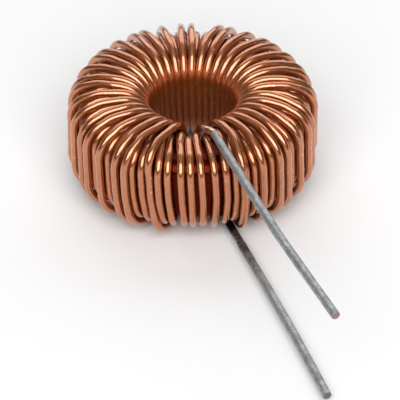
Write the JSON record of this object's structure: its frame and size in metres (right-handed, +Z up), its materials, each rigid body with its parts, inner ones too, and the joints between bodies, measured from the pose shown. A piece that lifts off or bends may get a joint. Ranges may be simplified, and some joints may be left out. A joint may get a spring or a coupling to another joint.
{
  "type": "toroidal inductor",
  "caption": "Ring core wound with two layers of enamelled copper wire, lying flat, with both tinned wire ends led out to one side as straight solder leads.",
  "frame": {"origin": "on the ring's axis, in the plane the lowest turns rest on", "axes": "+Z up along the ring's axis, -Y from the ring towards the lead tips, +X to the right when looking along +Y"},
  "size_m": [0.0278, 0.0555, 0.013],
  "materials": {
    "core_coat": "dark red lacquer",
    "copper": "clear enamel on bright copper",
    "tin": "satin dip tinning"
  },
  "bodies": {
    "root": {"core": "core_coat", "winding": "copper", "upper_lead": "tin", "lower_lead": "tin"}
  },
  "joints": []
}
